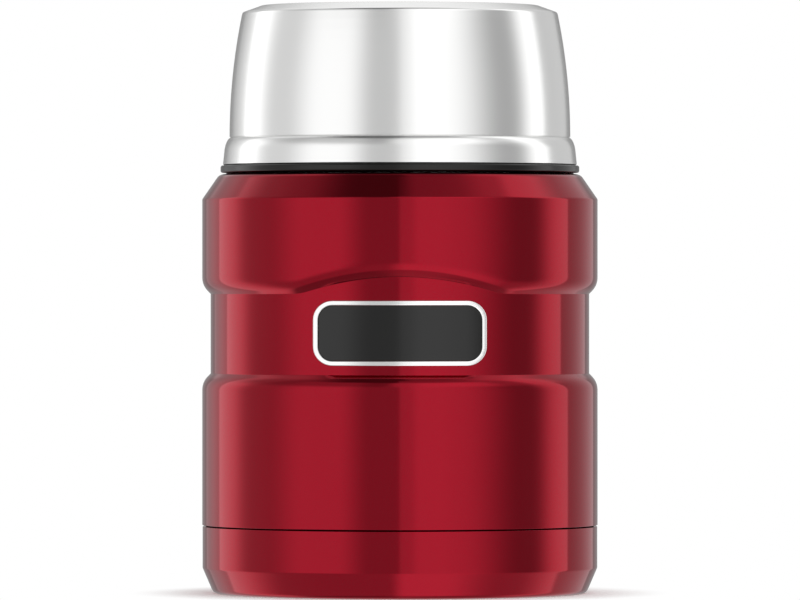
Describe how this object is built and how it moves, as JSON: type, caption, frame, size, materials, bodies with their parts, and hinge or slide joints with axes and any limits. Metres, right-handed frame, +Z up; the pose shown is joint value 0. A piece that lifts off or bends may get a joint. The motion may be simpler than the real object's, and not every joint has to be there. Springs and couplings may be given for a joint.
{
  "type": "insulated food jar",
  "caption": "Vacuum food jar in red steel with a waisted body, a screwed stopper that carries a folded spoon, and a steel serving bowl screwed over it as the lid.",
  "frame": {"origin": "centre of the ring that the jar stands on, at the height of the surface under it", "axes": "+Z up along the jar's axis; the badge faces -Y; +X is to the right of a viewer who faces the badge"},
  "size_m": [0.095, 0.095, 0.1411],
  "materials": {
    "red_paint": "deep metallic red enamel under clear gloss",
    "satin_steel": "satin turned stainless steel",
    "bright_steel": "drawn stainless steel, electropolished",
    "spoon_steel": "polished stainless steel",
    "foil": "plain bright foil",
    "solder": "dull sealing metal",
    "getter": "pressed grey powder",
    "silicone": "matt grey silicone",
    "black_plastic": "fine matt black polypropylene",
    "insulating_foam": "pale rigid foam",
    "badge_enamel": "satin charcoal enamel",
    "badge_metal": "bright satin rim"
  },
  "bodies": {
    "jar": {"outer_shell": "red_paint", "inner_vessel": "bright_steel", "radiation_foil": "foil", "shell_bottom_plate": "bright_steel", "vacuum_seal_plug": "solder", "getter_holder": "bright_steel", "getter_pellet": "getter", "base_cup": "red_paint", "base_bond_ring": "silicone", "badge_pad": "silicone", "badge_plate": "badge_enamel", "badge_frame": "badge_metal"},
    "stopper_seal": {"stopper_gasket": "silicone"},
    "stopper": {"stopper_body": "black_plastic", "stopper_inner_cup": "black_plastic", "stopper_insulation": "insulating_foam", "spoon_head": "spoon_steel", "spoon_handle": "spoon_steel", "spoon_rivet": "spoon_steel"},
    "bowl_lining": {"bowl_inner_liner": "bright_steel"},
    "bowl": {"bowl_outer_shell": "satin_steel", "bowl_thread_ring": "black_plastic"}
  },
  "joints": [
    {"name": "stopper_rise", "type": "slide", "parent": "jar", "child": "stopper_seal", "axis": [0, 0, 1], "range_m": [0, 0.024]},
    {"name": "stopper_turn", "type": "hinge", "parent": "stopper_seal", "child": "stopper", "pos_m": [0, 0, 0.1], "axis": [0, 0, 1], "range_deg": [0, 720]},
    {"name": "bowl_rise", "type": "slide", "parent": "stopper", "child": "bowl_lining", "axis": [0, 0, 1], "range_m": [0, 0.036]},
    {"name": "bowl_turn", "type": "hinge", "parent": "bowl_lining", "child": "bowl", "pos_m": [0, 0, 0.12], "axis": [0, 0, 1], "range_deg": [0, 720]}
  ],
  "couplings": [
    {"joint": "stopper_rise", "follows": "stopper_turn", "m_per_rad": 0.0019099},
    {"joint": "bowl_rise", "follows": "bowl_turn", "m_per_rad": 0.0028648}
  ]
}
